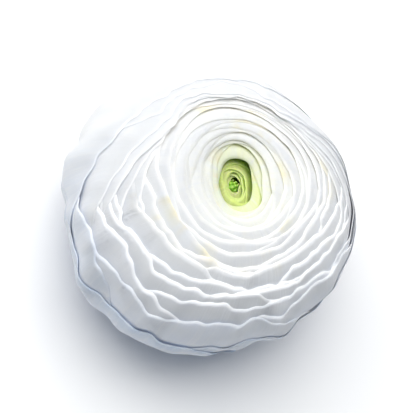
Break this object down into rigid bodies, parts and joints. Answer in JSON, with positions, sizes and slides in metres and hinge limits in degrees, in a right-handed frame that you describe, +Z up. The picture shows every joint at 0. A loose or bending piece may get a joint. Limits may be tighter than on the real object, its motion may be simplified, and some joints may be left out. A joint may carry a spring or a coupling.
{
  "type": "ranunculus flower",
  "caption": "Cut double flower head: thin white petals wrapped in nested, ruffled layers round a small lime heart, resting on its underside on a short stem stub.",
  "frame": {"origin": "middle of the flat cut face under the bloom, on the surface that the flower rests on", "axes": "+Z up along the bloom's axis, towards the green heart; -Y is the full, upright side; +Y the open side"},
  "size_m": [0.072, 0.0749, 0.0437],
  "materials": {
    "white_petal": "soft, slightly translucent",
    "green_petal": "soft, slightly translucent",
    "carpel": "waxy",
    "stem_green": "waxy"
  },
  "bodies": {
    "root": {"petals": "white_petal", "green_petals": "green_petal", "carpels": "carpel", "stem_and_sepals": "stem_green"}
  },
  "joints": []
}
